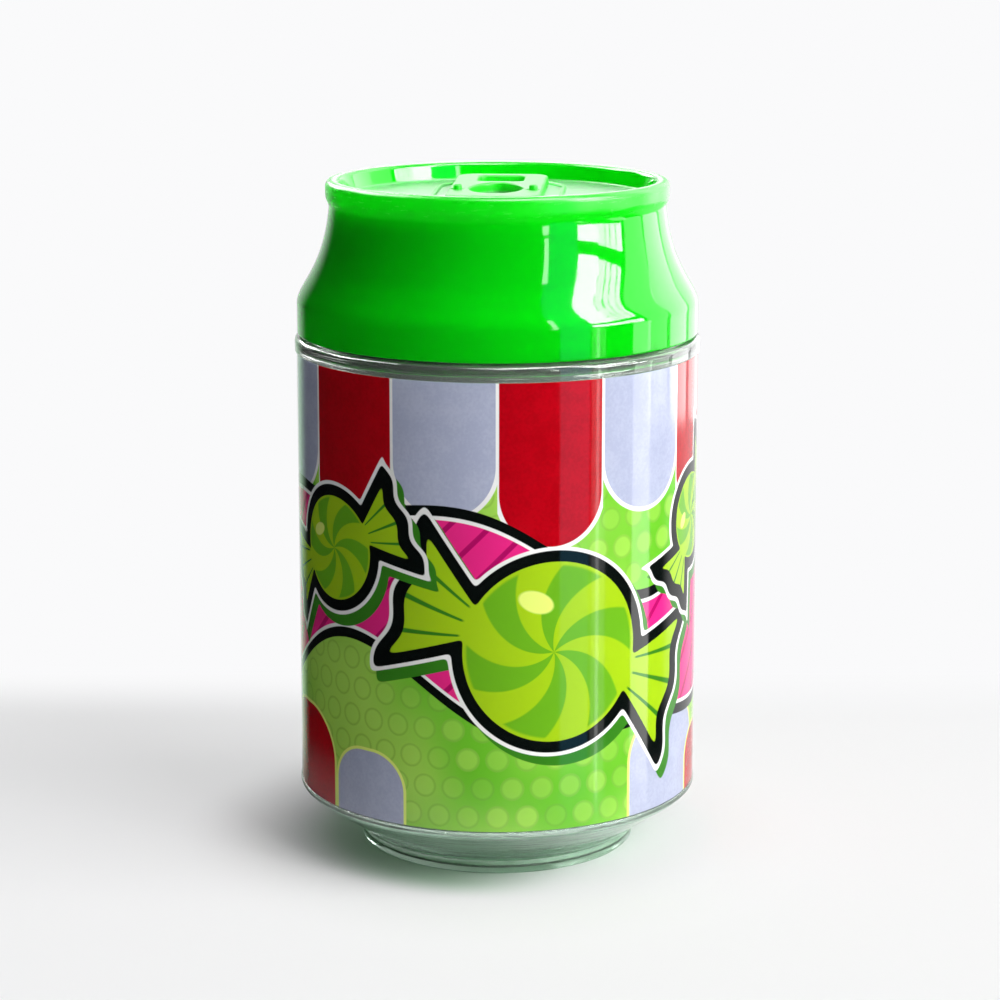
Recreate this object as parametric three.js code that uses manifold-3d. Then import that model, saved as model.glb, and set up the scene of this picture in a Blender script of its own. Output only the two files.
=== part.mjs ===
// A can-shaped jar that hides a storage cup, with a screw lid shaped like the top of a drinks can.
// Millimetres, Z up. The can stands on z = 0, and its axis is the Z axis. The lid is screwed down.
import * as THREE from 'three';
import { mergeVertices } from 'three/addons/utils/BufferGeometryUtils.js';
import Module from 'manifold-3d';

const wasm = await Module();
wasm.setup();

// Driving sizes of the whole can, from the bottom up
const bodyRadius = 33;
const baseHeight = 10.7;
const labelHeight = 71.8;
const bandHeight = 3;
const lidHeight = 24.9;

// Printed wrap label
const labelThickness = 0.3;
const labelGlue = 0.05;
const labelEndGap = 0.1;

// Clear can
const canWall = 1.2;
const bandProud = 0.2;
const ledgeGap = 0.4;
const ledgeWall = 1.5;
const ledgeRounding = 0.9;
const lipHeight = 1.2;
const lipRounding = 0.3;
const footRadius = 22.8;
const footWidth = 2.5;
const footHeight = 2.7;
const footStep = 0.6;
const footRounding = 0.6;
const domeHeight = 5.5;
const domeShoulderShare = 0.62;
const neckWall = 1.6;

// Thread: short ridges, several starts, right-handed
const threadStarts = 3;
const threadLead = 12;
const ridgeTurnShare = 1 / 6;
const ridgeDepth = 1.7;
const ridgeRoot = 1.3;
const ridgeCrest = 0.7;
const ridgeMargin = 0.2;
const ridgeWeld = 0.4;
const ridgeEndShares = [0.25, 0.75];
const crestClearance = 0.4;
const boreClearance = 0.5;
const flankClearance = 0.3;

// Lid
const lidInset = 0.2;
const lidWall = 1.6;
const lidEdgeRounding = 0.4;
const skirtStraight = 4.8;
const rimRadius = 27.95;
const rimProud = 0.5;
const rimHeight = 3.7;
const rimRise = 0.8;
const neckStraight = 0.7;
const rimWidth = 2.05;
const rimRounding = 0.9;
const recessDepth = 2.9;
const recessDraft = 0.95;
const recessRounding = 0.5;
const shoulderHandleShare = 0.19;
const neckInRadiusShare = 0.178;
const neckInHeightShare = 0.344;
const beadLoopGap = 2.4;
const beadLoopThickness = 0.8;
const beadLoopHeight = 0.5;

// Ring-pull plate on the lid
const tabWidth = 15.2;
const tabWeb = 2.2;
const tabThickness = 1.7;
const tabOffset = 1.8;
const tabTurn = THREE.MathUtils.degToRad(-3.5);
const tabRounding = 3.2;
const tabEdgeBevel = 0.3;
const slotSide = 3.8;
const slotLength = 8.8;
const slotInset = 2.8;
const slotRounding = 1.2;
const fingerHoleSide = 3.3;
const fingerHoleLength = 15.4;
const fingerHoleInset = 4.2;
const postRadius = 0.7;
const postEdge = 1.5;
const postProud = 0.8;
const postClearance = 0.3;
const postInset = 9.9;

// Hidden cup
const cupWall = 1.2;
const cupClearance = 0.4;
const cupDraft = 0.6;
const cupLift = 4.5;
const cupRounding = 4;
const flangeThickness = 0.8;
const flangeInset = 0.4;

// Seal under the lid
const gasketThickness = 1;
const gasketInset = 0.4;
const discOverhang = 0.3;
const discThickness = 1.4;
const discPlay = 0.3;
const snapGrip = 0.3;
const snapHeight = 0.8;
const pocketClearance = 0.4;
const landWidth = 0.8;
const discRibRadius = 18;
const discRibWidth = 1.2;
const discRibHeight = 1.5;

// Cuts run past both faces
const cutOverrun = 1;

// Facets
const facets = 60;
const filletSteps = 2;
const shoulderSteps = 10;
const postFacets = 12;
const loopFacets = 24;

// Radii and heights that follow from the sizes above
const labelBottom = baseHeight;
const labelTop = labelBottom + labelHeight;
const lidBottom = labelTop + bandHeight;
const overallHeight = lidBottom + lidHeight;
const lidRadius = bodyRadius - lidInset;
const skirtBore = lidRadius - lidWall;
const threadRadius = skirtBore - boreClearance;
const neckRadius = threadRadius - ridgeDepth;
const neckBore = neckRadius - neckWall;
const lidCrestRadius = neckRadius + crestClearance;
const cupRadius = neckBore - cupClearance;
const panelRadius = bodyRadius - labelThickness - labelGlue;
const canBore = panelRadius - canWall;
const discRadius = neckRadius + discOverhang;
const slotWidth = tabWidth - 2 * slotSide;
const fingerHoleWidth = tabWidth - 2 * fingerHoleSide;
const tabLength = slotInset + slotLength + tabWeb + fingerHoleLength + fingerHoleInset;

const ledge = lidBottom - ledgeGap;
const ridgeRise = threadLead * ridgeTurnShare;
const ridgeOffset = (ridgeRoot + ridgeCrest) / 2 + flankClearance;
const lidRidgeStart = lidBottom + ridgeMargin + ridgeRoot / 2;
const canRidgeStart = lidRidgeStart + ridgeOffset;
const neckTop = canRidgeStart + ridgeRise + ridgeRoot / 2 + ridgeMargin;
const flangeTop = neckTop + flangeThickness;
const discBottom = flangeTop + gasketThickness;
const discTop = discBottom + discThickness;
const landHeight = discTop + discPlay;
const snapTop = discBottom - discPlay;
const snapBottom = snapTop - snapHeight;
const snapRadius = discRadius - snapGrip;
const pocketRadius = discRadius + pocketClearance;
const landRadius = discRadius - landWidth;
const recessFloor = overallHeight - recessDepth;
const rimBottom = overallHeight - rimHeight;
const shoulderTop = rimBottom - neckStraight;

// A point of a profile: its radius, its height and the rounding of its corner.
function corner(radius, height, rounding = 0) {
  return { point: new THREE.Vector2(radius, height), rounding };
}

// One rounded corner, limited to half of the shorter side beside it.
function roundedCorner(before, at, after, rounding) {
  const back = before.clone().sub(at);
  const ahead = after.clone().sub(at);
  const half = Math.abs(back.angleTo(ahead)) / 2;
  const reach = Math.min(rounding / Math.tan(half), back.length() / 2, ahead.length() / 2);
  const start = at.clone().addScaledVector(back.normalize(), reach);
  const end = at.clone().addScaledVector(ahead.normalize(), reach);
  return new THREE.QuadraticBezierCurve(start, at, end).getPoints(filletSteps);
}

// The points of a profile whose corners are rounded. A closed one ends where it starts.
function profile(corners, closed = false) {
  const count = corners.length;
  const points = corners.flatMap(({ point, rounding }, i) => {
    if (rounding === 0) {
      return [point];
    }
    const before = corners[(i + count - 1) % count].point;
    const after = corners[(i + 1) % count].point;
    return roundedCorner(before, point, after, rounding);
  });
  return closed ? [...points, points[0].clone()] : points;
}

// A profile in radius and height, listed counterclockwise, turned round the Z axis.
function revolve(points, sides = facets) {
  return new THREE.LatheGeometry(points, sides).rotateX(Math.PI / 2);
}

function toSolid(geometry) {
  const bare = geometry.clone();
  bare.deleteAttribute('normal');
  bare.deleteAttribute('uv');
  const merged = mergeVertices(bare);
  return new wasm.Manifold(new wasm.Mesh({
    numProp: 3,
    vertProperties: merged.attributes.position.array,
    triVerts: Uint32Array.from(merged.index.array),
  }));
}

function toGeometry(solid) {
  const mesh = solid.getMesh();
  const geometry = new THREE.BufferGeometry();
  geometry.setAttribute('position', new THREE.BufferAttribute(mesh.vertProperties, mesh.numProp));
  geometry.setIndex(new THREE.BufferAttribute(mesh.triVerts, 1));
  return geometry;
}

// Joins solid shapes into one.
function joined(...geometries) {
  return toGeometry(geometries.map(toSolid).reduce((whole, next) => whole.add(next)));
}

// Cuts solid shapes out of one.
function cutFrom(geometry, ...cutters) {
  return toGeometry(cutters.map(toSolid).reduce((rest, next) => rest.subtract(next), toSolid(geometry)));
}

function material(color, roughness, options = {}) {
  return new THREE.MeshStandardMaterial({ color, roughness, metalness: 0, flatShading: true, ...options });
}

function named(name, geometry, look) {
  const mesh = new THREE.Mesh(geometry, look);
  mesh.name = name;
  return mesh;
}

// One thread ridge: a tapered section carried up a helix, shallower at both ends.
function threadRidge(rootRadius, crestRadius, startHeight, startAngle) {
  const steps = Math.round(facets * ridgeTurnShare);
  const weld = Math.sign(rootRadius - crestRadius) * ridgeWeld;
  const positions = [];
  for (let i = 0; i <= steps; i += 1) {
    const along = i / steps;
    const angle = startAngle + along * ridgeTurnShare * 2 * Math.PI;
    const height = startHeight + along * ridgeRise;
    const fromEnd = Math.min(i, steps - i);
    const depthShare = ridgeEndShares[fromEnd] ?? 1;
    const crest = rootRadius + (crestRadius - rootRadius) * depthShare;
    const sides = [
      { radius: rootRadius + weld, half: ridgeRoot / 2 },
      { radius: crest, half: ridgeCrest / 2 },
    ].sort((a, b) => a.radius - b.radius);
    const section = [
      [sides[0].radius, height - sides[0].half],
      [sides[1].radius, height - sides[1].half],
      [sides[1].radius, height + sides[1].half],
      [sides[0].radius, height + sides[0].half],
    ];
    for (const [radius, z] of section) {
      positions.push(radius * Math.cos(angle), radius * Math.sin(angle), z);
    }
  }
  const sectionPoints = positions.length / 3 / (steps + 1);
  const index = [0, 1, 2, 0, 2, 3];
  for (let i = 0; i < steps; i += 1) {
    for (let j = 0; j < sectionPoints; j += 1) {
      const a = i * sectionPoints + j;
      const b = i * sectionPoints + (j + 1) % sectionPoints;
      index.push(a, a + sectionPoints, b + sectionPoints, a, b + sectionPoints, b);
    }
  }
  const last = steps * sectionPoints;
  index.push(last, last + 2, last + 1, last, last + 3, last + 2);
  const geometry = new THREE.BufferGeometry();
  geometry.setAttribute('position', new THREE.Float32BufferAttribute(positions, 3));
  geometry.setIndex(index);
  return geometry;
}

function threadRidges(rootRadius, crestRadius, startHeight) {
  return Array.from({ length: threadStarts }, (_, start) => {
    const startAngle = (start / threadStarts) * 2 * Math.PI;
    return threadRidge(rootRadius, crestRadius, startHeight, startAngle);
  });
}

// A curve of the raised underside, from the axis out to the foot ring.
function domeCurve(height, endRadius, endHeight) {
  return new THREE.QuadraticBezierCurve(
    new THREE.Vector2(0, height),
    new THREE.Vector2(endRadius * domeShoulderShare, height),
    new THREE.Vector2(endRadius, endHeight),
  ).getPoints(filletSteps);
}

// Clear blow-moulded can: domed underside, foot ring, chamfer, label recess, shoulder band, threaded neck.
function canBody() {
  const footInner = footRadius - footWidth;
  const footMiddle = footRadius - footWidth / 2;
  const stepRadius = footRadius + footStep;
  const lipBottom = labelBottom - lipHeight;
  const slope = (lipBottom - footHeight) / (bodyRadius - stepRadius);
  const wallRise = canWall * Math.hypot(1, slope);
  const innerChamferTop = footHeight + slope * (canBore - stepRadius) + wallRise;
  const bandRadius = bodyRadius + bandProud;
  const outside = profile([
    corner(footInner, 0, footRounding),
    corner(footRadius, 0, footRounding),
    corner(footRadius, footHeight),
    corner(stepRadius, footHeight),
    corner(bodyRadius, lipBottom, lipRounding),
    corner(bodyRadius, labelBottom - labelEndGap),
    corner(panelRadius, labelBottom - labelEndGap),
    corner(panelRadius, labelTop + labelEndGap),
    corner(bandRadius, labelTop + labelEndGap),
    corner(bandRadius, ledge, ledgeRounding),
    corner(neckRadius, ledge),
    corner(neckRadius, neckTop),
    corner(neckBore, neckTop),
    corner(neckBore, ledge - ledgeWall),
    corner(canBore, ledge - ledgeWall, ledgeRounding),
    corner(canBore, innerChamferTop, ledgeRounding),
    corner(stepRadius, footHeight + wallRise),
    corner(footMiddle, canWall, footRounding),
  ]);
  outside.shift();
  const underside = domeCurve(domeHeight, footInner, footRounding);
  const floor = domeCurve(domeHeight + canWall, footMiddle, canWall).slice(0, -1).reverse();
  const shell = revolve([...underside, ...outside, ...floor]);
  return joined(shell, ...threadRidges(neckRadius, threadRadius, canRidgeStart));
}

// Printed plastic wrap in the recess of the can's wall.
function labelSleeve() {
  const inner = bodyRadius - labelThickness;
  return revolve(profile([
    corner(inner, labelBottom),
    corner(bodyRadius, labelBottom),
    corner(bodyRadius, labelTop),
    corner(inner, labelTop),
  ], true));
}

// Opaque cup that hangs by its flange on the neck's rim.
function stashCup() {
  const bottom = domeHeight + canWall + cupLift;
  const base = cupRadius - cupDraft;
  return revolve(profile([
    corner(0, bottom),
    corner(base, bottom, cupRounding),
    corner(cupRadius, neckTop),
    corner(neckRadius - flangeInset, neckTop),
    corner(neckRadius - flangeInset, flangeTop),
    corner(cupRadius - cupWall, flangeTop),
    corner(base - cupWall, bottom + cupWall, cupRounding - cupWall),
    corner(0, bottom + cupWall),
  ]));
}

// Soft ring glued under the disc. It presses on the cup's flange.
function sealGasket() {
  const inner = cupRadius - cupWall + gasketInset;
  const outer = snapRadius - discPlay;
  return revolve(profile([
    corner(inner, flangeTop),
    corner(outer, flangeTop),
    corner(outer, discBottom),
    corner(inner, discBottom),
  ], true));
}

// Stiff disc held in the lid's pocket, above the snap bead. The lid turns round it.
function sealDisc() {
  const ribOuter = discRibRadius + discRibWidth / 2;
  const ribInner = discRibRadius - discRibWidth / 2;
  return revolve(profile([
    corner(0, discBottom),
    corner(discRadius, discBottom),
    corner(discRadius, discTop),
    corner(ribOuter, discTop),
    corner(ribOuter, discTop + discRibHeight),
    corner(ribInner, discTop + discRibHeight),
    corner(ribInner, discTop),
    corner(0, discTop),
  ]));
}

// The can-like shoulder, drawn in from the skirt to the rim. Inset moves it into the wall.
function shoulderCurve(inset) {
  const low = new THREE.Vector2(lidRadius - inset, lidBottom + skirtStraight);
  const high = new THREE.Vector2(rimRadius - rimProud - inset, shoulderTop);
  const rise = high.y - low.y;
  const drawIn = low.x - high.x;
  return new THREE.CubicBezierCurve(
    low,
    new THREE.Vector2(low.x, low.y + rise * shoulderHandleShare),
    new THREE.Vector2(high.x + drawIn * neckInRadiusShare, low.y + rise * neckInHeightShare),
    high,
  ).getPoints(shoulderSteps);
}

// The lid's outline: straight skirt, shoulder, rolled rim, recessed end, and the hollow underneath.
function lidOutline() {
  const recessRadius = rimRadius - rimWidth - recessDraft;
  const roof = recessFloor - lidWall;
  const roofRadius = rimRadius - rimProud - lidWall;
  const skirt = profile([
    corner(skirtBore, snapBottom),
    corner(skirtBore, lidBottom, lidEdgeRounding),
    corner(lidRadius, lidBottom, lidEdgeRounding),
    corner(lidRadius, lidBottom + skirtStraight),
  ]).slice(1, -1);
  const top = profile([
    corner(rimRadius - rimProud, shoulderTop),
    corner(rimRadius - rimProud, rimBottom),
    corner(rimRadius, rimBottom + rimRise, rimRounding),
    corner(rimRadius, overallHeight, rimRounding),
    corner(rimRadius - rimWidth, overallHeight, rimRounding),
    corner(recessRadius, recessFloor, recessRounding),
    corner(0, recessFloor),
  ]).slice(1);
  const inside = shoulderCurve(lidWall)
    .filter((point) => point.y > landHeight && point.y < roof - lidWall / 2)
    .map((point) => new THREE.Vector2(Math.min(point.x, landRadius), point.y))
    .reverse();
  const pocket = profile([
    corner(landRadius, landHeight),
    corner(pocketRadius, landHeight),
    corner(pocketRadius, snapTop),
    corner(snapRadius, snapTop),
    corner(snapRadius, snapBottom),
    corner(skirtBore, snapBottom),
  ]);
  return [
    new THREE.Vector2(0, roof),
    new THREE.Vector2(roofRadius - lidWall / 2, roof),
    ...inside,
    ...pocket,
    ...skirt,
    ...shoulderCurve(0),
    ...top,
  ];
}

// A loop with straight sides and round ends, centred where the ring-pull plate is.
function stadium(width, length) {
  const radius = width / 2;
  const reach = length / 2 - radius;
  const path = new THREE.Path();
  path.absarc(0, reach, radius, 0, Math.PI, false);
  path.absarc(0, -reach, radius, Math.PI, 2 * Math.PI, false);
  return path.getPoints(loopFacets / 2);
}

// Raised loop moulded on the recessed end, round the ring-pull plate.
function beadLoop() {
  const gap = 2 * beadLoopGap;
  const outerGap = gap + 2 * beadLoopThickness;
  const shape = new THREE.Shape(stadium(tabWidth + outerGap, tabLength + outerGap));
  const inner = stadium(tabWidth + gap, tabLength + gap);
  shape.holes.push(new THREE.Path(inner));
  const depth = beadLoopHeight + lidWall / 2;
  return new THREE.ExtrudeGeometry(shape, { depth, bevelEnabled: false })
    .translate(0, tabOffset, recessFloor - lidWall / 2)
    .rotateZ(tabTurn);
}

// Places of the two locating posts on the ring-pull plate, from the plate's middle.
function postPlaces() {
  const y = -tabLength / 2 + postInset;
  return [-1, 1].map((side) => new THREE.Vector2(side * (tabWidth / 2 - postEdge), y));
}

// Round-headed post that locates the ring-pull plate on the lid.
function locatingPost({ x, y }) {
  const top = recessFloor + tabThickness + postProud;
  return revolve(profile([
    corner(0, recessFloor - lidWall / 2),
    corner(postRadius, recessFloor - lidWall / 2),
    corner(postRadius, top, postRadius / 2),
    corner(0, top),
  ]), postFacets).translate(x, y + tabOffset, 0).rotateZ(tabTurn);
}

function lidShell() {
  return joined(
    revolve(lidOutline()),
    ...threadRidges(skirtBore, lidCrestRadius, lidRidgeStart),
    beadLoop(),
    ...postPlaces().map(locatingPost),
  );
}

// A rectangle with rounded corners, centred on a height along the plate.
function roundedRectangle(width, length, rounding, middle = 0) {
  const right = width / 2 - rounding;
  const back = middle + length / 2 - rounding;
  const front = middle - length / 2 + rounding;
  const quarter = Math.PI / 2;
  const shape = new THREE.Shape();
  shape.absarc(right, back, rounding, 0, quarter, false);
  shape.absarc(-right, back, rounding, quarter, 2 * quarter, false);
  shape.absarc(-right, front, rounding, 2 * quarter, 3 * quarter, false);
  shape.absarc(right, front, rounding, 3 * quarter, 4 * quarter, false);
  return shape;
}

// Ring-pull style plate with a slot, an oval finger hole and two holes for the locating posts.
function pullTab() {
  const bevel = tabEdgeBevel;
  const postHole = postRadius + postClearance;
  const shape = roundedRectangle(tabWidth, tabLength, tabRounding);
  const slotMiddle = tabLength / 2 - slotInset - slotLength / 2;
  const fingerMiddle = -tabLength / 2 + fingerHoleInset + fingerHoleLength / 2;
  const slot = roundedRectangle(slotWidth, slotLength, slotRounding, slotMiddle);
  const finger = new THREE.Path();
  finger.absellipse(0, fingerMiddle, fingerHoleWidth / 2, fingerHoleLength / 2, 0, 2 * Math.PI, true, 0);
  shape.holes.push(slot, finger);
  const plate = new THREE.ExtrudeGeometry(shape, {
    depth: tabThickness - 2 * bevel,
    curveSegments: loopFacets / 4,
    bevelThickness: bevel,
    bevelSize: bevel,
    bevelOffset: -bevel,
    bevelSegments: 1,
  }).translate(0, 0, bevel);
  const holes = postPlaces().map(({ x, y }) => (
    new THREE.CylinderGeometry(postHole, postHole, tabThickness + 2 * cutOverrun, postFacets)
      .rotateX(Math.PI / 2)
      .translate(x, y, tabThickness / 2)
  ));
  return cutFrom(plate, ...holes);
}

const clearPlastic = material(0xc9dccb, 0.08, { transparent: true, opacity: 0.35 });
const printedFilm = material(0x58ae33, 0.3);
const charcoalPlastic = material(0x2c302e, 0.5);
const naturalPlastic = material(0xe4e6e0, 0.5);
const paleFoam = material(0xf2f2ee, 0.8);
const greenPlastic = material(0x05cd0f, 0.15);

const tab = named('pull_tab', pullTab(), greenPlastic.clone());
tab.position.set(0, tabOffset, recessFloor).applyAxisAngle(new THREE.Vector3(0, 0, 1), tabTurn);
tab.rotation.z = tabTurn;

const safe = new THREE.Group();
safe.add(
  named('can_body', canBody(), clearPlastic),
  named('label_sleeve', labelSleeve(), printedFilm),
  named('stash_cup', stashCup(), charcoalPlastic),
  named('seal_gasket', sealGasket(), paleFoam),
  named('seal_disc', sealDisc(), naturalPlastic),
  named('lid_shell', lidShell(), greenPlastic),
  tab,
);

export default safe;
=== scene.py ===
"""Looks of a can-shaped jar that hides a cup, with a green screw lid like the top of a drinks can.

Lengths are millimetres times MM, which gives metres. The can stands on z = 0 and its axis is the Z axis.
"""

import math

import bmesh
import bpy
from mathutils import Matrix, Vector


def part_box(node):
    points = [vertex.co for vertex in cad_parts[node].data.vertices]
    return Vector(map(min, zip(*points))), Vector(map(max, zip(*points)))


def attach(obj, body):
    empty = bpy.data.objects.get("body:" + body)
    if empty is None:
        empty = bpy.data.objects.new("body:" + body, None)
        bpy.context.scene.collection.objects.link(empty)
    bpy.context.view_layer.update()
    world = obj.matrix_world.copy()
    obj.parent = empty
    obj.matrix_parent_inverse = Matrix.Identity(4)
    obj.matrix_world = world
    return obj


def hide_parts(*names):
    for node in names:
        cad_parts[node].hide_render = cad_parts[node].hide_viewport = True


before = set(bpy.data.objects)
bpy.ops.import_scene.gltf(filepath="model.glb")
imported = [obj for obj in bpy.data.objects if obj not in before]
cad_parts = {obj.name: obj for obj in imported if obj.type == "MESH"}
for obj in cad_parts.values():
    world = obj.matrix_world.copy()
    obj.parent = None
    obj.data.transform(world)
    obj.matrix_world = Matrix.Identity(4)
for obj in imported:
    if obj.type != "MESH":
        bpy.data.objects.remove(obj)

MM = 0.001
ROUND_STEPS = 192
SMALL_ROUND_STEPS = 32
CORNER_STEPS = 5
JOIN_DISTANCE = 0.0005 * MM
SHARP_ANGLE = math.radians(32)

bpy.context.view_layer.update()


def node_radius(node):
    """Half the width of a CAD node at rest."""
    low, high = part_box(node)
    return (high[0] - low[0]) / 2


def node_span(node):
    """The lowest and highest point of a CAD node at rest."""
    low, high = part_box(node)
    return low[2], high[2]


# Sizes that the frame gives
BODY_RADIUS = node_radius("label_sleeve")
BAND_RADIUS = node_radius("can_body")
LID_RADIUS = node_radius("lid_shell")
FLANGE_RADIUS = node_radius("stash_cup")
DISC_RADIUS = node_radius("seal_disc")
GASKET_RADIUS = node_radius("seal_gasket")
LABEL_BOTTOM, LABEL_TOP = node_span("label_sleeve")
LID_BOTTOM, LID_TOP = node_span("lid_shell")
NECK_TOP = node_span("can_body")[1]
CUP_BOTTOM, FLANGE_TOP = node_span("stash_cup")
DISC_BOTTOM = node_span("seal_disc")[0]
RECESS_FLOOR, TAB_TOP = node_span("pull_tab")

# Clear can
CAN_WALL = 1.2 * MM
LEDGE = LID_BOTTOM - 0.4 * MM
LEDGE_WALL = 1.5 * MM
LEDGE_ROUNDING = 0.9 * MM
LABEL_RECESS = 0.35 * MM
LABEL_END_GAP = 0.1 * MM
LIP_HEIGHT = 1.2 * MM
FOOT_RADIUS = 22.8 * MM
FOOT_WIDTH = 2.5 * MM
FOOT_HEIGHT = 2.7 * MM
FOOT_STEP = 0.6 * MM
DOME_HEIGHT = 5.5 * MM
DOME_PULL = 0.62
DOME_STEPS = 14
NECK_RADIUS = 29.0 * MM
NECK_WALL = 1.6 * MM

# Thread
THREAD_STARTS = 3
THREAD_LEAD = 12 * MM
RIDGE_ANGLE = math.radians(60)
RIDGE_DEPTH = 1.7 * MM
RIDGE_ROOT = 1.3 * MM
RIDGE_CREST = 0.7 * MM
RIDGE_WELD = 0.4 * MM
RIDGE_STEPS = 30
RIDGE_TAPER_SHARE = 0.18
RIDGE_END_SHARE = 0.12
CREST_CLEARANCE = 0.4 * MM
CAN_RIDGE_START = LID_BOTTOM + 2.15 * MM
LID_RIDGE_START = LID_BOTTOM + 0.85 * MM

# Lid
LID_WALL = 1.6 * MM
SKIRT_BORE = LID_RADIUS - LID_WALL
SKIRT_STRAIGHT = 4.8 * MM
RIM_RADIUS = 27.95 * MM
RIM_PROUD = 0.5 * MM
RIM_HEIGHT = 3.7 * MM
RIM_SWELL = 2.1 * MM
NECK_STRAIGHT = 0.7 * MM
RIM_WIDTH = 2.05 * MM
RECESS_DRAFT = 0.95 * MM
SATIN_RADIUS = 25.2 * MM
SHOULDER_STEPS = 40
SHOULDER_LOW_PULL = 0.19
SHOULDER_HIGH_PULL = (0.178, 0.344)
LAND_HEIGHT = DISC_BOTTOM + 1.7 * MM
LAND_RADIUS = DISC_RADIUS - 0.8 * MM
POCKET_RADIUS = DISC_RADIUS + 0.4 * MM
SNAP_RADIUS = DISC_RADIUS - 0.3 * MM
SNAP_TOP = DISC_BOTTOM - 0.3 * MM
SNAP_BOTTOM = SNAP_TOP - 0.8 * MM

# Ring-pull plate
TAB_WIDTH = 15.2 * MM
TAB_LENGTH = 33.4 * MM
TAB_MIDDLE = 1.8 * MM
TAB_TURN = math.radians(-3.5)
TAB_ROUNDING = 3.2 * MM
SLOT_WIDTH = 7.6 * MM
SLOT_LENGTH = 8.8 * MM
SLOT_INSET = 2.8 * MM
FINGER_WIDTH = 8.6 * MM
FINGER_LENGTH = 15.4 * MM
FINGER_INSET = 4.2 * MM
POST_RADIUS = 0.7 * MM
POST_SIDE = 6.1 * MM
POST_INSET = 9.9 * MM
POST_PLAY = 0.3 * MM
POST_PROUD = 0.8 * MM
POST_SUNK = 0.5 * MM
LOOP_GAP = 2.4 * MM
LOOP_THICKNESS = 0.8 * MM
LOOP_HEIGHT = 0.5 * MM


def srgb(red, green, blue):
    """A colour given as it looks on screen, 0 to 255, in the renderer's own linear values."""
    def linear(value):
        share = value / 255
        return share / 12.92 if share <= 0.04045 else ((share + 0.055) / 1.055) ** 2.4
    return (linear(red), linear(green), linear(blue), 1.0)


# Camera and stage

CAMERA_DISTANCE = 453.9 * MM
CAMERA_HEIGHT = 159.35 * MM
CAMERA_TILT = math.radians(90 - 10.68)
FOCAL_PIXELS = 2802.5
PICTURE_PIXELS = 1000
SENSOR_MM = 36
AXIS_PIXEL_X = 497.34
AXIS_PIXEL_Y = 400


def make_camera():
    """The photograph's viewing angle. The shift puts the lens axis where the photograph has it."""
    data = bpy.data.cameras.new("camera")
    data.sensor_width = SENSOR_MM
    data.lens = FOCAL_PIXELS / PICTURE_PIXELS * SENSOR_MM
    middle = PICTURE_PIXELS / 2
    data.shift_x = (middle - AXIS_PIXEL_X) / PICTURE_PIXELS
    data.shift_y = (AXIS_PIXEL_Y - middle) / PICTURE_PIXELS
    data.clip_start = 0.01
    data.clip_end = 50
    camera = bpy.data.objects.new("camera", data)
    camera.location = (0, -CAMERA_DISTANCE, CAMERA_HEIGHT)
    camera.rotation_euler = (CAMERA_TILT, 0, 0)
    bpy.context.scene.collection.objects.link(camera)
    bpy.context.scene.camera = camera


# Node helpers

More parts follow.
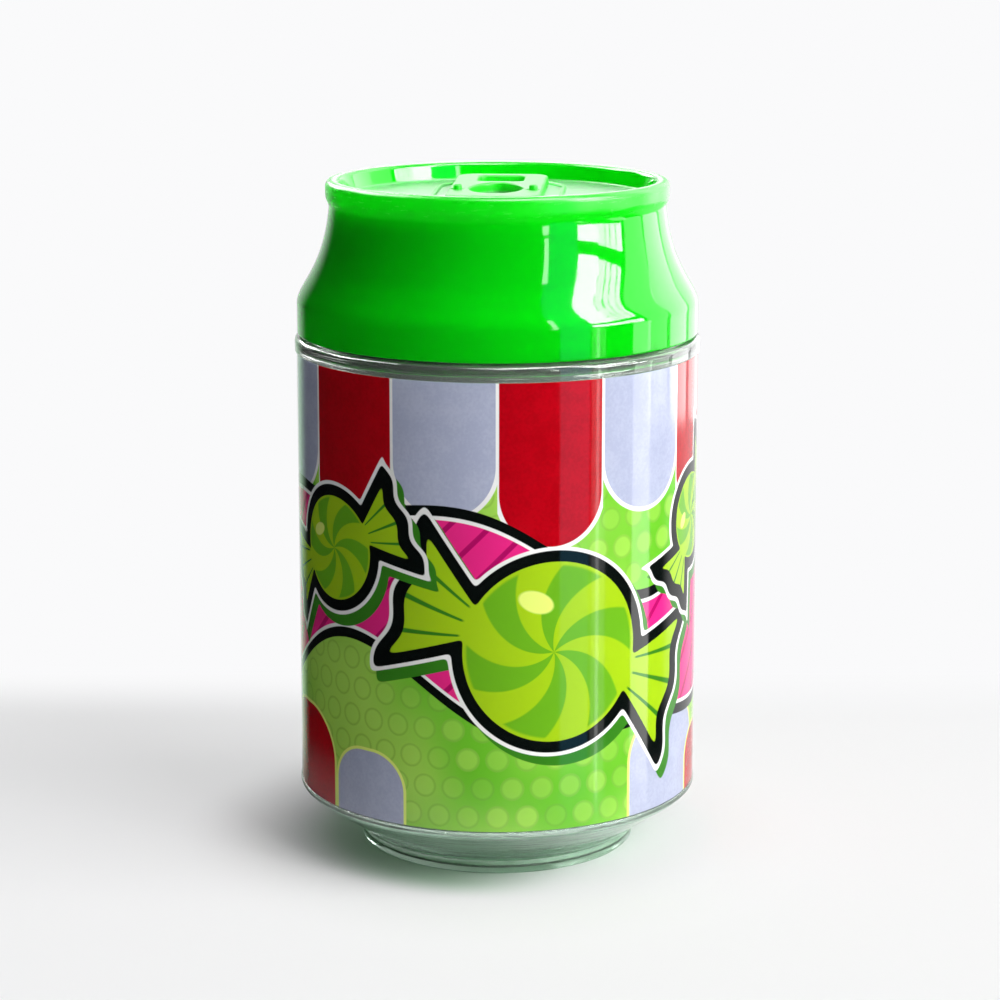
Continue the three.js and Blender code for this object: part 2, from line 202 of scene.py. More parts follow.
class Net:
    """Adds nodes to a node tree. A value may be a number, a colour or another node's output."""

    def __init__(self, tree):
        self.tree = tree

    def node(self, kind, **settings):
        made = self.tree.nodes.new(kind)
        for name, value in settings.items():
            setattr(made, name, value)
        return made

    def feed(self, socket, value):
        if isinstance(value, bpy.types.NodeSocket):
            self.tree.links.new(value, socket)
        elif value is not None:
            socket.default_value = value

    def calc(self, operation, *values, clamp=False):
        made = self.node("ShaderNodeMath", operation=operation, use_clamp=clamp)
        for socket, value in zip(made.inputs, values):
            self.feed(socket, value)
        return made.outputs[0]

    def plus(self, one, other):
        return self.calc("ADD", one, other)

    def minus(self, one, other):
        return self.calc("SUBTRACT", one, other)

    def times(self, one, other):
        return self.calc("MULTIPLY", one, other)

    def step(self, value, low, high):
        """0 below low and 1 above high, with a smooth edge between."""
        made = self.node("ShaderNodeMapRange", interpolation_type="SMOOTHSTEP")
        self.feed(made.inputs["Value"], value)
        self.feed(made.inputs["From Min"], low)
        self.feed(made.inputs["From Max"], high)
        return made.outputs["Result"]

    def fade(self, value, low, high):
        """1 below low and 0 above high, with a smooth edge between."""
        return self.minus(1.0, self.step(value, low, high))

    def span(self, value, from_low, from_high, to_low, to_high):
        made = self.node("ShaderNodeMapRange")
        for name, number in (("Value", value), ("From Min", from_low), ("From Max", from_high),
                             ("To Min", to_low), ("To Max", to_high)):
            self.feed(made.inputs[name], number)
        return made.outputs["Result"]

    def mix(self, mask, below, above):
        made = self.node("ShaderNodeMix", data_type="RGBA")
        self.feed(made.inputs[0], mask)
        self.feed(made.inputs[6], below)
        self.feed(made.inputs[7], above)
        return made.outputs[2]

    def join(self, x, y, z=0.0):
        made = self.node("ShaderNodeCombineXYZ")
        for socket, value in zip(made.inputs, (x, y, z)):
            self.feed(socket, value)
        return made.outputs[0]

    def object_place(self):
        return self.node("ShaderNodeTexCoord").outputs["Object"]

    def parts(self, place):
        """The x, y and z of a place."""
        made = self.node("ShaderNodeSeparateXYZ")
        self.feed(made.inputs[0], place)
        return tuple(made.outputs)

    def stretched(self, place, scale, rotation=(0, 0, 0)):
        made = self.node("ShaderNodeMapping")
        made.inputs["Scale"].default_value = scale
        made.inputs["Rotation"].default_value = rotation
        self.feed(made.inputs["Vector"], place)
        return made.outputs[0]

    def noise(self, place, scale, detail=2.0, roughness=0.5):
        made = self.node("ShaderNodeTexNoise")
        self.feed(made.inputs["Vector"], place)
        self.feed(made.inputs["Scale"], scale)
        self.feed(made.inputs["Detail"], detail)
        self.feed(made.inputs["Roughness"], roughness)
        return made.outputs["Fac"]

    def mix_shaders(self, share, below, above):
        made = self.node("ShaderNodeMixShader")
        for socket, value in zip(made.inputs, (share, below, above)):
            self.feed(socket, value)
        return made.outputs[0]

    def set_surface(self, shader):
        """Makes a shader the material's surface."""
        output = next(n for n in self.tree.nodes if n.type == "OUTPUT_MATERIAL")
        self.feed(output.inputs["Surface"], shader)

    def group(self, tree, **values):
        made = self.node("ShaderNodeGroup")
        made.node_tree = tree
        for name, value in values.items():
            self.feed(made.inputs[name.replace("_", " ")], value)
        return made.outputs


def length2(net, x, y):
    return net.calc("SQRT", net.plus(net.times(x, x), net.times(y, y)))


def new_group(name, inputs, outputs):
    """A node group with number inputs and outputs. Colours are named Color."""
    tree = bpy.data.node_groups.new(name, "ShaderNodeTree")
    for label in inputs:
        tree.interface.new_socket(label, in_out="INPUT", socket_type="NodeSocketFloat")
    for label in outputs:
        kind = "NodeSocketColor" if label == "Color" else "NodeSocketFloat"
        tree.interface.new_socket(label, in_out="OUTPUT", socket_type=kind)
    net = Net(tree)
    return net, net.node("NodeGroupInput").outputs, net.node("NodeGroupOutput").inputs


def new_material(name):
    """A material with a Principled shader, as (material, net, shader)."""
    material = bpy.data.materials.new(name)
    material.use_nodes = True
    net = Net(material.node_tree)
    shader = material.node_tree.nodes["Principled BSDF"]
    return material, net, shader


def bump(net, shader, height, depth):
    made = net.node("ShaderNodeBump")
    made.inputs["Strength"].default_value = 1.0
    made.inputs["Distance"].default_value = depth
    net.feed(made.inputs["Height"], height)
    net.feed(shader.inputs["Normal"], made.outputs[0])


def moulded_surface_group():
    """Fine unevenness and light scuffs of moulded plastic, from the object's own coordinates."""
    net, given, result = new_group(
        "moulded_surface", ["Roughness", "Scuff", "Grain"], ["Roughness", "Height", "Shade"])
    place = net.object_place()
    waves = net.noise(place, 90, 2)
    grain = net.noise(place, 2600, 2)
    scratches = net.noise(net.stretched(place, (0.35, 0.35, 2.4), (0.5, 0.3, 0.0)), 900, 4, 0.7)
    scuff = net.times(net.step(scratches, 0.60, 0.78), given["Scuff"])
    net.feed(result["Roughness"], net.plus(given["Roughness"], net.times(scuff, 0.25)))
    fine = net.times(grain, given["Grain"])
    net.feed(result["Height"], net.plus(waves, fine))
    net.feed(result["Shade"], net.span(waves, 0.3, 0.7, 0.97, 1.03))
    return net.tree


# Materials

GREEN = srgb(4, 240, 12)
# Paler green painted on the recess floor: a painted sheen of the satin surface.
RECESS_SHEEN_GREEN = srgb(112, 240, 120)
GREEN_ROUGHNESS = 0.05
SATIN_ROUGHNESS = 0.42
RIM_ROUGHNESS = 0.22
LIGHT_SPREAD = 16 * MM
LIGHT_SPREAD_BY_COLOR = (0.4, 1.0, 0.4)
LIGHT_SPREAD_SHARE = 0.76
PLASTIC_DEPTH = 0.01 * MM

CLEAR_TRANSMISSION = 0.94
CLEAR_IOR = 1.57
CLEAR_ROUGHNESS = 0.015
LEDGE_ROUGHNESS = 0.09
LIP_ROUGHNESS = 0.16
# The thick base's tint: partly the greener thick plastic, partly painted shade that darkens the base.
THICK_TINT_AND_SHADE = (0.76, 0.92, 0.81, 1.0)
THIN_TINT = (0.93, 0.97, 0.94, 1.0)
THICK_SHADOW = (0.50, 0.74, 0.53, 1.0)
THIN_SHADOW = (0.9, 0.95, 0.91, 1.0)
FLOW_SCALE = (55, 55, 1100)
CLEAR_DEPTH = 0.03 * MM
THICK_FLOW = 2.4
THIN_FLOW = 0.15

CHARCOAL = srgb(46, 52, 49)
NATURAL = srgb(226, 228, 220)
FOAM = srgb(236, 236, 228)


def shaded(net, color, shade):
    """A colour made a little lighter or darker by a shade near 1."""
    made = net.node("ShaderNodeMix", data_type="RGBA", blend_type="MULTIPLY")
    made.inputs[0].default_value = 1.0
    net.feed(made.inputs[6], color)
    net.feed(made.inputs[7], net.join(shade, shade, shade))
    return made.outputs[2]


def dress(net, shader, made, color, height, depth):
    """Gives a shader a moulded surface in a colour."""
    net.feed(shader.inputs["Base Color"], shaded(net, color, made["Shade"]))
    net.feed(shader.inputs["Roughness"], made["Roughness"])
    bump(net, shader, height, depth)


def moulded_plastic(name, surface, color, roughness, scuff=1.0, grain=0.0, depth=PLASTIC_DEPTH):
    material, net, shader = new_material(name)
    made = net.group(surface, Roughness=roughness, Scuff=scuff, Grain=grain)
    dress(net, shader, made, color, made["Height"], depth)
    return material


def green_plastic(surface):
    """Glossy green moulded plastic that lets light through. The rim is softer, the recessed end satin, and
    the recess floor is painted a paler green, a painted sheen of its satin surface.
    """
    material, net, shader = new_material("green_plastic")
    x, y, z = net.parts(net.object_place())
    radius = length2(net, x, y)
    satin = net.times(net.fade(radius, SATIN_RADIUS - 0.4 * MM, SATIN_RADIUS),
                     net.step(z, RECESS_FLOOR - 0.4 * MM, RECESS_FLOOR - 0.1 * MM))
    # flat masks the recess floor, where the paler green is painted as sheen.
    flat = net.times(satin, net.fade(z, RECESS_FLOOR + 0.1 * MM, RECESS_FLOOR + 0.5 * MM))
    rim_inside = RIM_RADIUS - RIM_WIDTH
    rim_bottom = LID_TOP - RIM_HEIGHT
    rim = net.times(net.step(radius, rim_inside - 0.2 * MM, rim_inside + 0.2 * MM),
                   net.step(z, rim_bottom - 0.6 * MM, rim_bottom + 0.2 * MM))
    rough = net.plus(net.span(satin, 0, 1, GREEN_ROUGHNESS, SATIN_ROUGHNESS),
                     net.times(rim, RIM_ROUGHNESS))
    made = net.group(surface, Roughness=rough, Scuff=0.4, Grain=0.0)
    dress(net, shader, made, net.mix(flat, GREEN, RECESS_SHEEN_GREEN), made["Height"], PLASTIC_DEPTH)
    shader.inputs["Subsurface Weight"].default_value = LIGHT_SPREAD_SHARE
    shader.inputs["Subsurface Radius"].default_value = LIGHT_SPREAD_BY_COLOR
    shader.inputs["Subsurface Scale"].default_value = LIGHT_SPREAD
    return material


def clear_plastic(surface):
    """Clear bottle plastic, greener and darker in the thick base, partly from its thicker plastic and partly
    painted shade, and wavier there. The ledge and the lip are a little softer.
    Light passes to what is inside as through a thin wall."""
    material, net, shader = new_material("clear_plastic")
    z = net.parts(net.object_place())[2]
    lip_bottom = LABEL_BOTTOM - LIP_HEIGHT
    thin = net.step(z, lip_bottom, LABEL_BOTTOM + 4 * MM)
    ledge = net.times(net.step(z, LEDGE - 0.9 * MM, LEDGE - 0.6 * MM), net.fade(z, LEDGE, LEDGE + 0.1 * MM))
    lip = net.times(net.step(z, lip_bottom, LABEL_BOTTOM - LIP_HEIGHT / 2),
                   net.fade(z, LABEL_BOTTOM, LABEL_BOTTOM + 0.1 * MM))
    rough = net.plus(net.span(ledge, 0, 1, CLEAR_ROUGHNESS, LEDGE_ROUGHNESS),
                     net.times(lip, LIP_ROUGHNESS))
    made = net.group(surface, Roughness=rough, Scuff=0.5, Grain=0.0)
    shader.inputs["Transmission Weight"].default_value = CLEAR_TRANSMISSION
    shader.inputs["IOR"].default_value = CLEAR_IOR
    flow = net.noise(net.stretched(net.object_place(), FLOW_SCALE), 1.0, 3)
    lines = net.times(flow, net.span(thin, 0, 1, THICK_FLOW, THIN_FLOW))
    height = net.plus(made["Height"], lines)
    dress(net, shader, made, net.mix(thin, THICK_TINT_AND_SHADE, THIN_TINT), height, CLEAR_DEPTH)
    passing = net.node("ShaderNodeBsdfTransparent")
    net.feed(passing.inputs["Color"], net.mix(thin, THICK_SHADOW, THIN_SHADOW))
    light = net.node("ShaderNodeLightPath")
    net.set_surface(net.mix_shaders(light.outputs["Is Shadow Ray"], shader.outputs[0], passing.outputs[0]))
    return material


# Printed wrap, in mm. Around runs to the right from the middle of the front, Up from the lower edge.
# Each sweet has its middle around and up, its turn in degrees and its size. Each drop has its middle
# around, half width, height and ink.

EDGE = 0.07
PRINT_PERIOD = math.pi * BODY_RADIUS / MM
LABEL_HEIGHT = (LABEL_TOP - LABEL_BOTTOM) / MM
BUBBLE_PITCH = 4.7
BUBBLE_RADIUS = 1.9
AWNING_STRIPES = 6
AWNING_DROP = 17.5
AWNING_STAGGER = 4.5
RIBBON_MIDDLE = 33.0
RIBBON_WAVE = 7.0
RIBBON_HALF = 12.6
RIBBON_SWELL = 3.2
RIBBON_STRIPE = 6.5
SWEET_WHITE_EDGE = 2.4
SWEET_BLACK_EDGE = 1.8
SWEET_SHADOW = (1.3, -1.6)
SWEETS = ((9, 29, -20, 14.5), (-30, 43, 24, 8.4), (42, 46, 52, 7.0))
DROPS = ((-40, 9.5, 15, "red"), (-22.5, 7, 11, "lavender"), (33, 10, 17, "lavender"), (46, 6, 10, "red"))
INK = dict(
    leaf=srgb(102, 186, 42), deep_leaf=srgb(54, 126, 30), light_leaf=srgb(170, 218, 90),
    lime=srgb(160, 200, 26), deep_lime=srgb(104, 172, 30), pale_lime=srgb(226, 240, 120),
    red=srgb(182, 2, 20), deep_red=srgb(144, 0, 8), lavender=srgb(166, 172, 197),
    pale_lavender=srgb(186, 192, 211), magenta=srgb(230, 40, 130), deep_magenta=srgb(176, 14, 96),
    black=srgb(8, 14, 12), white=srgb(240, 240, 238),
)


def inside(net, distance, limit=0.0, edge=EDGE):
    """1 where a distance in mm is under a limit."""
    return net.fade(distance, limit - edge, limit + edge)


def wrap_place_group():
    """Where a point of the wrap is on the flat print."""
    net, given, result = new_group("wrap_place", ["Period"], ["Around", "Up"])
    x, y, z = net.parts(net.object_place())
    angle = net.calc("ARCTAN2", x, net.times(y, -1.0))
    around = net.times(angle, BODY_RADIUS / MM)
    half = net.times(given["Period"], 0.5)
    net.feed(result["Around"], net.calc("WRAP", around, half, net.times(half, -1.0)))
    net.feed(result["Up"], net.times(net.minus(z, LABEL_BOTTOM), 1 / MM))
    return net.tree


def wrapped_sweet_group():
    """A round sweet in a twisted wrapper: its distance in mm, its swirl stripes, pleats and gleam."""
    net, given, result = new_group(
        "wrapped_sweet", ["Around", "Up", "Middle Around", "Middle Up", "Turn", "Size"],
        ["Distance", "Swirl", "Pleats", "Gleam"])
    x = net.minus(given["Around"], given["Middle Around"])
    y = net.minus(given["Up"], given["Middle Up"])
    cosine = net.calc("COSINE", given["Turn"])
    sine = net.calc("SINE", given["Turn"])
    along = net.plus(net.times(x, cosine), net.times(y, sine))
    across = net.minus(net.times(y, cosine), net.times(x, sine))
    along = net.calc("DIVIDE", along, given["Size"])
    across = net.calc("DIVIDE", across, given["Size"])
    out = net.calc("ABSOLUTE", along)
    wide = net.calc("ABSOLUTE", across)
    middle = length2(net, along, across)
    ball = net.minus(middle, 1.0)
    flare = net.calc("MULTIPLY_ADD", net.minus(out, 0.9), 0.72, 0.13)
    scallop = net.calc("MULTIPLY_ADD", net.calc("COSINE", net.times(across, 8.0)), 0.05, 1.70)
    fan = net.calc("SMOOTH_MAX", net.minus(wide, flare), net.minus(out, scallop), 0.16)
    fan = net.times(net.calc("MAXIMUM", fan, net.minus(0.85, out)), 0.82)
    distance = net.calc("SMOOTH_MIN", ball, fan, 0.10)
    net.feed(result["Distance"], net.times(distance, given["Size"]))
    angle = net.calc("ARCTAN2", across, along)
    swirl = net.calc("SINE", net.calc("MULTIPLY_ADD", angle, 6.0, net.times(middle, 5.0)))
    ball_area = net.fade(ball, -0.06, -0.02)
    net.feed(result["Swirl"], net.times(net.step(swirl, -0.12, 0.12), ball_area))
    ray = net.calc("DIVIDE", across, net.minus(out, 0.55))
    pleat = net.calc("ABSOLUTE", net.calc("SINE", net.times(ray, 9.0)))
    fan_area = net.step(ball, 0.03, 0.08)
    net.feed(result["Pleats"], net.times(net.fade(pleat, 0.16, 0.30), fan_area))
    gleam_x = net.plus(along, 0.38)
    gleam_y = net.times(net.minus(across, 0.46), 1.7)
    gleam = net.minus(length2(net, gleam_x, gleam_y), 0.2)
    net.feed(result["Gleam"], net.fade(gleam, -0.02, 0.02))
    return net.tree


def rounded_block_group():
    """A block with rounded corners on the wrap's lower edge: its distance in mm, negative inside."""
    inputs = ["Around", "Up", "Middle Around", "Half Width", "Half Height", "Rounding"]
    net, given, result = new_group("rounded_block", inputs, ["Distance"])
    x = net.calc("ABSOLUTE", net.minus(given["Around"], given["Middle Around"]))
    y = net.calc("ABSOLUTE", given["Up"])
    x = net.plus(net.minus(x, given["Half Width"]), given["Rounding"])
    y = net.plus(net.minus(y, given["Half Height"]), given["Rounding"])
    outer = length2(net, net.calc("MAXIMUM", x, 0.0), net.calc("MAXIMUM", y, 0.0))
    inner = net.calc("MINIMUM", net.calc("MAXIMUM", x, y), 0.0)
    net.feed(result["Distance"], net.minus(net.plus(outer, inner), given["Rounding"]))
    return net.tree


def bubble_ground(net, around, up):
    """Green ground with rows of round bubbles, tone on tone."""
    pitch = BUBBLE_PITCH
    row = net.calc("FLOOR", net.calc("DIVIDE", up, pitch))
    odd = net.calc("MODULO", row, 2.0)
    shifted = net.plus(around, net.times(odd, pitch / 2))
    x = net.calc("WRAP", shifted, pitch / 2, -pitch / 2)
    y = net.minus(net.minus(up, net.times(row, pitch)), pitch / 2)
    distance = length2(net, x, y)
    bubble = inside(net, distance, BUBBLE_RADIUS, 0.16)
    rim = net.times(bubble, net.step(distance, 1.35, 1.8))
    column = net.calc("FLOOR", net.plus(net.calc("DIVIDE", shifted, pitch), 0.5))
    tone = net.node("ShaderNodeTexWhiteNoise", noise_dimensions="2D")
    net.feed(tone.inputs["Vector"], net.join(column, row))
    light = net.times(bubble, net.span(tone.outputs["Value"], 0, 1, 0.15, 0.75))
    broad = net.noise(net.join(net.times(around, 0.02), net.times(up, 0.02)), 1.6, 1)
    ground = net.mix(net.step(broad, 0.35, 0.65), INK["leaf"], INK["light_leaf"])
    ground = net.mix(net.times(light, 0.8), ground, INK["light_leaf"])
    return net.mix(net.times(rim, 0.28), ground, INK["deep_leaf"])


SUGAR_TONES = dict(red="deep_red", lavender="pale_lavender")


def sugared(net, place, ink):
    """A sweet's colour with the mottling of sugar."""
    coarse = net.noise(place, 260, 3, 0.6)
    fine = net.noise(place, 1900, 2)
    mottle = net.plus(net.times(coarse, 0.55), net.times(fine, 0.45))
    share = net.times(net.step(mottle, 0.38, 0.66), 0.5)
    return net.mix(share, INK[ink], INK[SUGAR_TONES[ink]])


def awning(net, picture, around, up):
    """A scalloped border along the top, in red and lavender."""
    wide = PRINT_PERIOD / AWNING_STRIPES
    column = net.calc("FLOOR", net.calc("DIVIDE", around, wide))
    x = net.minus(net.calc("WRAP", around, wide, 0.0), wide / 2)
    odd = net.calc("ABSOLUTE", net.calc("MODULO", column, 2.0))
    drop = net.calc("MULTIPLY_ADD", odd, -AWNING_STAGGER, AWNING_DROP)
    y = net.minus(up, net.minus(LABEL_HEIGHT, drop))
    low = net.calc("MINIMUM", y, 0.0)
    distance = net.minus(length2(net, x, low), wide / 2)
    place = net.object_place()
    color = net.mix(odd, sugared(net, place, "red"), sugared(net, place, "lavender"))
    picture = net.mix(inside(net, distance, 0.45), picture, INK["white"])
    return net.mix(inside(net, distance, -0.25), picture, color)


def gumdrops(net, picture, block, around, up):
    """Sugared drops standing along the lower edge."""
    place = net.object_place()
    for middle, half, high, ink in DROPS:
        made = net.group(block, Around=around, Up=up, Middle_Around=middle, Half_Width=half, Half_Height=high,
                         Rounding=half * 0.85)
        color = sugared(net, place, ink)
        distance = made["Distance"]
        picture = net.mix(inside(net, distance, 0.5), picture, INK["pale_lime"])
        picture = net.mix(inside(net, distance, 0.0), picture, color)
    return picture


def ribbon(net, picture, around, up):
    """A waving magenta band with a black edge and a thin white line."""
    once = 2 * math.pi / PRINT_PERIOD
    wave = net.calc("SINE", net.times(around, once))
    middle = net.calc("MULTIPLY_ADD", wave, -RIBBON_WAVE, RIBBON_MIDDLE)
    twice = net.calc("COSINE", net.times(around, 2 * once))
    swell = net.calc("MULTIPLY_ADD", twice, RIBBON_SWELL, RIBBON_HALF)
    distance = net.minus(net.calc("ABSOLUTE", net.minus(up, middle)), swell)
    distance = net.times(distance, 0.9)
    stripe = net.calc("SINE", net.times(net.minus(around, up), 2 * math.pi / RIBBON_STRIPE))
    band = net.mix(net.step(stripe, 0.80, 0.90), INK["magenta"], INK["deep_magenta"])
    picture = net.mix(inside(net, distance, 1.5), picture, INK["black"])
    picture = net.mix(inside(net, distance, 0.0), picture, INK["white"])
    return net.mix(inside(net, distance, -0.55), picture, band)


def sweets(net, picture, sweet, around, up):
    """Large wrapped sweets."""
    for middle, high, turn, size in SWEETS:
        places = dict(Around=around, Up=up, Turn=math.radians(turn), Size=size)
        shadow = net.group(sweet, Middle_Around=middle + SWEET_SHADOW[0], Middle_Up=high + SWEET_SHADOW[1],
                           **places)
        made = net.group(sweet, Middle_Around=middle, Middle_Up=high, **places)
        distance = made["Distance"]
        picture = net.mix(inside(net, shadow["Distance"], SWEET_WHITE_EDGE), picture, INK["deep_leaf"])
        picture = net.mix(inside(net, distance, SWEET_WHITE_EDGE), picture, INK["white"])
        picture = net.mix(inside(net, distance, SWEET_BLACK_EDGE), picture, INK["black"])
        fill = net.mix(made["Swirl"], INK["lime"], INK["deep_lime"])
        fill = net.mix(made["Pleats"], fill, INK["deep_leaf"])
        fill = net.mix(made["Gleam"], fill, INK["pale_lime"])
        picture = net.mix(inside(net, distance, 0.0), picture, fill)
    return picture


FILM_INNER_RADIUS = BODY_RADIUS - LABEL_RECESS + 0.1 * MM
FILM_THICKNESS = 0.12 * MM
BACKING_RADIUS = FILM_INNER_RADIUS + 0.03 * MM


def printed_film():
    """Glossy film printed with a plain pattern of sweets, bubbles and a ribbon."""
    material, net, shader = new_material("printed_film")
    where = net.group(wrap_place_group(), Period=PRINT_PERIOD)
    around, up = where["Around"], where["Up"]
    picture = bubble_ground(net, around, up)
    picture = gumdrops(net, picture, rounded_block_group(), around, up)
    picture = awning(net, picture, around, up)
    picture = ribbon(net, picture, around, up)
    picture = sweets(net, picture, wrapped_sweet_group(), around, up)
    place = net.object_place()
    x, y, _ = net.parts(place)
    printed_side = net.step(length2(net, x, y), BACKING_RADIUS, BACKING_RADIUS + 0.02 * MM)
    net.feed(shader.inputs["Base Color"], net.mix(printed_side, INK["white"], picture))
    film = net.noise(place, 160, 2)
    net.feed(shader.inputs["Roughness"], net.span(film, 0.3, 0.7, 0.05, 0.09))
    bump(net, shader, film, 0.02 * MM)
    return material


# Meshes

def rounded_outline(corners):
    """Points of an outline from corners (radius, height, rounding), the rounded ones as arcs."""
    points = []
    count = len(corners)
    for i, (radius, height, rounding) in enumerate(corners):
        at = Vector((radius, height))
        if not rounding:
            points.append(at)
            continue
        before = Vector(corners[i - 1][:2]) - at
        after = Vector(corners[(i + 1) % count][:2]) - at
        half = before.angle(after) / 2
        reach = min(rounding / math.tan(half), before.length / 2, after.length / 2)
        arc = reach * math.tan(half)
        centre = at + (before.normalized() + after.normalized()).normalized() * (arc / math.sin(half))
        start = at + before.normalized() * reach - centre
        turn = math.pi - 2 * half
        way = 1 if before.x * after.y - before.y * after.x < 0 else -1
        for step in range(CORNER_STEPS + 1):
            share = way * turn * step / CORNER_STEPS
            spun = Matrix.Rotation(share, 2) @ start
            points.append(centre + spun)
    return points


def bezier(start, pull_start, pull_end, end, steps):
    """Points of a cubic curve."""
    points = []
    for step in range(steps + 1):
        t = step / steps
        u = 1 - t
        points.append(start * u**3 + pull_start * 3 * u * u * t + pull_end * 3 * u * t * t + end * t**3)
    return points


def spin_outline(bm, points, closed=False, steps=ROUND_STEPS):
    """Turns an outline of radius and height round the Z axis."""
    verts = [bm.verts.new((p.x, 0, p.y)) for p in points]
    pairs = list(zip(verts, verts[1:]))
    if closed:
        pairs.append((verts[-1], verts[0]))
    edges = [bm.edges.new(pair) for pair in pairs]
    bmesh.ops.spin(bm, geom=verts + edges, cent=(0, 0, 0), axis=(0, 0, 1), dvec=(0, 0, 0),
                   angle=2 * math.pi, steps=steps, use_merge=True, use_duplicate=False)
    bmesh.ops.remove_doubles(bm, verts=bm.verts, dist=JOIN_DISTANCE)


def move_out(vert, radius):
    """Puts a vertex at a radius from the Z axis."""
    share = radius / Vector(vert.co[:2]).length
    vert.co.x *= share
    vert.co.y *= share


def bare_object(bm, name):
    """A smooth shape. It may be made a piece or joined into one."""
    bmesh.ops.recalc_face_normals(bm, faces=bm.faces)
    for face in bm.faces:
        face.smooth = True
    mesh = bpy.data.meshes.new(name)
    bm.to_mesh(mesh)
    bm.free()
    made = bpy.data.objects.new(name, mesh)
    bpy.context.scene.collection.objects.link(made)
    return made


def finish_piece(bm, name, material, body, node):
    """Makes a piece from a bmesh. It rides on a body and stands for a CAD node."""
    piece = bare_object(bm, name)
    piece.data.set_sharp_from_angle(angle=SHARP_ANGLE)
    piece.data.materials.append(material)
    even = piece.modifiers.new("even_shading", "WEIGHTED_NORMAL")
    even.keep_sharp = True
    even.weight = 100
    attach(piece, body)
    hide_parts(node)
    return piece


def turned_bmesh(corners, closed=False, steps=ROUND_STEPS):
    bm = bmesh.new()
    spin_outline(bm, rounded_outline(corners), closed, steps)
    return bm


def weld(piece, *tools):
    """Joins other pieces into one, as one skin, and removes them."""
    bpy.context.view_layer.objects.active = piece
    for tool in tools:
        modifier = piece.modifiers.new("join", "BOOLEAN")
        modifier.operation = "UNION"
        modifier.solver = "EXACT"
        modifier.object = tool
        bpy.ops.object.modifier_move_to_index(modifier=modifier.name, index=0)
        bpy.ops.object.modifier_apply(modifier=modifier.name)
        bpy.data.objects.remove(tool)
    piece.data.set_sharp_from_angle(angle=SHARP_ANGLE)
    return piece


def thread_ridge(root, crest, start_height, start_angle):
    """One ridge of the thread: a tapered section carried up a helix, run out at both ends."""
    bm = bmesh.new()
    weld_in = RIDGE_WELD if root > crest else -RIDGE_WELD
    section = ((root + weld_in, -RIDGE_ROOT / 2), (crest, -RIDGE_CREST / 2), (crest, RIDGE_CREST / 2),
               (root + weld_in, RIDGE_ROOT / 2))
    verts = [bm.verts.new((radius, 0, start_height + up)) for radius, up in section]
    face = bm.faces.new(verts)
    bmesh.ops.rotate(bm, verts=verts, cent=(0, 0, 0), matrix=Matrix.Rotation(start_angle, 3, "Z"))
    rise = THREAD_LEAD * RIDGE_ANGLE / (2 * math.pi)
    bmesh.ops.spin(bm, geom=[face], cent=(0, 0, 0), axis=(0, 0, 1), dvec=(0, 0, rise / RIDGE_STEPS),
                   angle=RIDGE_ANGLE, steps=RIDGE_STEPS, use_duplicate=False)
    for vert in bm.verts:
        radius = Vector(vert.co[:2]).length
        turned = (math.atan2(vert.co.y, vert.co.x) - start_angle + math.pi) % (2 * math.pi) - math.pi
        along = turned / RIDGE_ANGLE
        depth = min(1.0, min(along, 1 - along) / RIDGE_TAPER_SHARE)
        depth = math.sin(max(depth, RIDGE_END_SHARE) * math.pi / 2)
        if (radius - root) * (crest - root) > 0:
            move_out(vert, root + (radius - root) * depth)
    return bare_object(bm, "ridge")


def thread(root, crest, start_height):
    apart = 2 * math.pi / THREAD_STARTS
    return [thread_ridge(root, crest, start_height, apart * i) for i in range(THREAD_STARTS)]


def dome_points(height, end_radius, end_height):
    """The raised underside, from the axis outwards."""
    start = Vector((0, height))
    pull = Vector((end_radius * DOME_PULL, height))
    end = Vector((end_radius, end_height))
    return bezier(start, start.lerp(pull, 2 / 3), end.lerp(pull, 2 / 3), end, DOME_STEPS)


